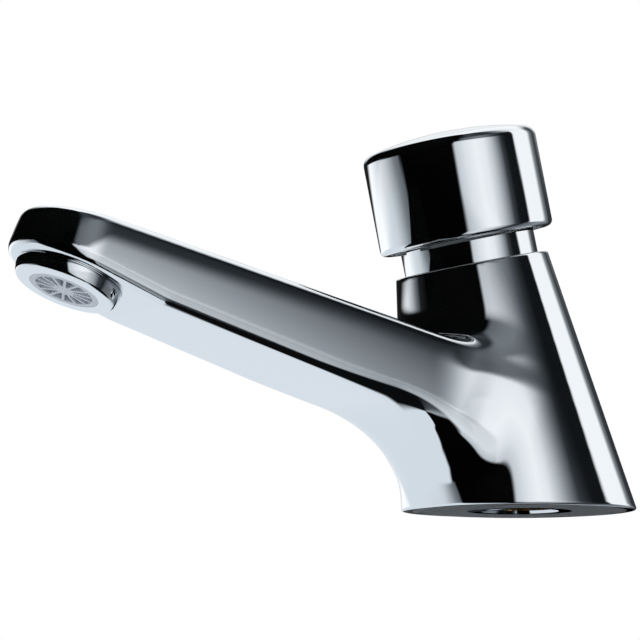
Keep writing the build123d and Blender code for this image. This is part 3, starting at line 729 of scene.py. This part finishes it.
# Stage: a plain pale floor, clear from below because the photograph looks up past the deck, in a
# studio for polished metal. White sheets stand left, right and behind, and the camera's side is dark.
floor_half = 3.0
floor_drop = 0.0002
bm = bmesh.new()
bmesh.ops.create_grid(bm, x_segments=1, y_segments=1, size=floor_half)
floor = new_object("floor", bm)
floor.location.z = -floor_drop
paper = new_material("floor_paper")
side = add_node(paper, "ShaderNodeNewGeometry")
ray = add_node(paper, "ShaderNodeLightPath")
unseen = add_node(paper, "ShaderNodeMath", {"operation": "MAXIMUM"})
paper.node_tree.links.new(side.outputs["Backfacing"], unseen.inputs[0])
paper.node_tree.links.new(ray.outputs["Is Glossy Ray"], unseen.inputs[1])
clear = add_node(paper, "ShaderNodeBsdfTransparent")
sheet = add_node(paper, "ShaderNodeBsdfDiffuse", {"Color": linear("#F2F3F5")})
pick = add_node(paper, "ShaderNodeMixShader", {}, {"Fac": unseen.outputs["Value"]})
paper.node_tree.links.new(sheet.outputs["BSDF"], pick.inputs[1])
paper.node_tree.links.new(clear.outputs["BSDF"], pick.inputs[2])
add_node(paper, "ShaderNodeOutputMaterial", links={"Surface": pick.outputs["Shader"]})
wear_finish(floor, paper)

# Sheets and gaps round the tap, from the floor to the roof, as degrees from the spout's side
# towards +X and the grey of the sheet there. The colour runs evenly from each to the next.
deep_ring = [(-180, "#0A0B0C"), (-112, "#0A0B0C"), (-100, "#D3DAE0"), (-26, "#D3DAE0"), (-20, "#030303"),
             (76, "#030303"), (84, "#9AA1A6"), (96, "#4A4F53"), (112, "#0A0B0C"), (180, "#0A0B0C")]
low_ring = [(-180, "#6E747A"), (-150, "#8A9096"), (-135, "#C4CAD0"), (-118, "#D3DAE0"), (-22, "#D3DAE0"),
            (-17, "#020202"), (57, "#020202"), (61, "#B6BCC0"), (78, "#D8DCDF"), (97, "#C4C9CC"),
            (112, "#A0A6AA"), (126, "#3A3F44"), (140, "#1A1C1E"), (150, "#5A5F64"), (180, "#6E747A")]
dip_ring = [(-180, "#8A9096"), (-150, "#5A5F64"), (-136, "#202326"), (-124, "#26292C"),
            (-119.5, "#D3DAE0"), (-58, "#D3DAE0"), (-44, "#C8CED3"), (-34, "#A8AEB3"), (-24, "#787E83"),
            (-16, "#5A6065"), (-13, "#020202"), (57, "#020202"), (61, "#B6BCC0"), (78, "#D8DCDF"),
            (97, "#D0D4D7"), (112, "#A0A6AA"), (126, "#3A3F44"), (140, "#1A1C1E"), (150, "#5A5F64"),
            (180, "#8A9096")]
eye_ring = [(-180, "#F0F2F3"), (-168, "#8C9094"), (-150, "#303438"), (-134, "#202326"), (-124, "#26292C"),
            (-116, "#D0D5D9"), (-92, "#FBFCFC"), (-76, "#FBFCFC"), (-60, "#E4E7E9"), (-44, "#C4C8CC"),
            (-34, "#A0A5A9"), (-26, "#74797D"), (-19, "#60666A"), (-16, "#020202"), (57, "#030303"),
            (60, "#C2C7CB"), (72, "#DDE1E4"), (88, "#F0F2F3"), (100, "#E8EBED"), (110, "#C0C5C9"),
            (118, "#8C9196"), (126, "#3A3E42"), (134, "#141618"), (150, "#101214"), (153, "#F4F5F6"),
            (180, "#F0F2F3")]
right_sheets = [(57, "#030303"), (60, "#C2C7CB"), (72, "#DDE1E4"), (86, "#EEF0F1"), (98, "#E4E7E9"),
                (108, "#BCC1C5"), (116, "#8A8F94"), (124, "#3A3E42"), (132, "#141618"), (147, "#101214"),
                (150, "#F4F5F6"), (180, "#F0F2F3")]
horizon_ring = [(-180, "#F0F2F3"), (-172, "#7C8084"), (-160, "#303438"), (-142, "#26292C"),
                (-124, "#1A1C1E"), (-116, "#C8CDD0"), (-98, "#F8F9FA"), (-80, "#F8F9FA"), (-64, "#DDE1E4"),
                (-54, "#B4B9BD"), (-44, "#6C7175"), (-36, "#1C1E20"), (-22, "#020202")] + right_sheets
neck_ring = [(-180, "#F0F2F3"), (-172, "#7C8084"), (-160, "#303438"), (-142, "#2A2D30"), (-126, "#5A5E62"),
             (-118, "#2A2C2E"), (-98, "#141516"), (-64, "#060606")] + right_sheets
upper_ring = [(-180, "#F2F3F4"), (-172, "#7C8184"), (-160, "#363A3D"), (-150, "#565B5F"), (-140, "#D4D8DA"),
              (-112, "#E4E7E9"), (-104, "#C8CCCE"), (-96, "#040404"), (61, "#020303"), (67, "#5C6166"),
              (84, "#6E7478"), (94, "#707679"), (102, "#606569"), (110, "#42474B"), (118, "#2A2E31"),
              (128, "#101214"), (145, "#101214"), (148, "#F4F5F6"), (180, "#F2F3F4")]
roof_ring = [(-180, "#F4F5F6"), (-98, "#F6F7F8"), (-84, "#101214"), (-70, "#030303"), (58, "#050606"),
             (76, "#3A3F43"), (96, "#2A2D30"), (112, "#2A2D30"), (132, "#7C8186"), (150, "#DADDDF"),
             (180, "#F4F5F6")]

world = bpy.data.worlds.new("studio")
bpy.context.scene.world = world
world.use_nodes = True
world.node_tree.nodes.clear()
look = add_node(world, "ShaderNodeTexCoord")
direction = add_node(world, "ShaderNodeSeparateXYZ", {}, {"Vector": look.outputs["Generated"]})
forward = add_node(world, "ShaderNodeMath", {"operation": "MULTIPLY"})
forward.inputs[1].default_value = -1.0
world.node_tree.links.new(direction.outputs["Y"], forward.inputs[0])
bearing = add_node(world, "ShaderNodeMath", {"operation": "ARCTAN2"})
world.node_tree.links.new(direction.outputs["X"], bearing.inputs[0])
world.node_tree.links.new(forward.outputs["Value"], bearing.inputs[1])
round_share = add_node(world, "ShaderNodeMapRange", {"From Min": -pi, "From Max": pi},
                       {"Value": bearing.outputs["Value"]})


def sheets_round(stops):
    """Colour ramp round the horizon, from stops in degrees."""
    ramp = add_node(world, "ShaderNodeValToRGB", links={"Fac": round_share.outputs["Result"]})
    points = ramp.color_ramp.elements
    points[0].color, points[-1].color = linear(stops[0][1]), linear(stops[-1][1])
    for angle, grey in stops[1:-1]:
        points.new((angle + 180) / 360).color = linear(grey)
    return ramp.outputs["Color"]


def above(low_colour, high_colour, start, finish):
    """Passes from one ring of sheets to the next between two elevations in degrees."""
    rise = add_node(world, "ShaderNodeMapRange",
                    {"interpolation_type": "SMOOTHSTEP", "From Min": sin(radians(start)),
                     "From Max": sin(radians(finish))}, {"Value": direction.outputs["Z"]})
    mix = add_node(world, "ShaderNodeMixRGB", {},
                   {"Fac": rise.outputs["Result"], "Color1": low_colour, "Color2": high_colour})
    return mix.outputs["Color"]


rings = sheets_round(deep_ring)
for ring, start, finish in ((low_ring, -58, -46), (dip_ring, -24, -19), (eye_ring, -8, -3),
                            (horizon_ring, -1, 1), (neck_ring, 4, 6.5), (upper_ring, 12, 20),
                            (roof_ring, 34, 48)):
    rings = above(rings, sheets_round(ring), start, finish)

# Polished metal sees the sheets, matt surfaces are lit by an even white room, and the camera sees
# plain white
ray = add_node(world, "ShaderNodeLightPath")
sheets = add_node(world, "ShaderNodeBackground", {"Strength": 1.25}, {"Color": rings})
room = add_node(world, "ShaderNodeBackground", {"Color": linear("#FFFFFF"), "Strength": 0.8})
white = add_node(world, "ShaderNodeBackground", {"Color": linear("#FFFFFF"), "Strength": 1.0})
metal_view = add_node(world, "ShaderNodeMixShader", {}, {"Fac": ray.outputs["Is Glossy Ray"]})
world.node_tree.links.new(room.outputs["Background"], metal_view.inputs[1])
world.node_tree.links.new(sheets.outputs["Background"], metal_view.inputs[2])
seen = add_node(world, "ShaderNodeMixShader", {}, {"Fac": ray.outputs["Is Camera Ray"]})
world.node_tree.links.new(metal_view.outputs["Shader"], seen.inputs[1])
world.node_tree.links.new(white.outputs["Background"], seen.inputs[2])
add_node(world, "ShaderNodeOutputWorld", links={"Surface": seen.outputs["Shader"]})

# Camera: a long lens, low and on the +X side of the spout, looking up past the deck's level. It was
# fitted to the outlines of the base, the rim, the button, the spout and the outlet.
camera_data = bpy.data.cameras.new("camera")
camera_data.lens = 136.37
camera_data.clip_end = 50
camera = bpy.data.objects.new("camera", camera_data)
bpy.context.scene.collection.objects.link(camera)
camera.location = (0.5574, -0.41529, -0.04354)
camera_aim = Vector((-0.0088, -0.0616, 0.05155))
camera.rotation_euler = (camera_aim - Vector(camera.location)).to_track_quat("-Z", "Y").to_euler()
bpy.context.scene.camera = camera
bpy.context.scene.view_settings.view_transform = "Standard"
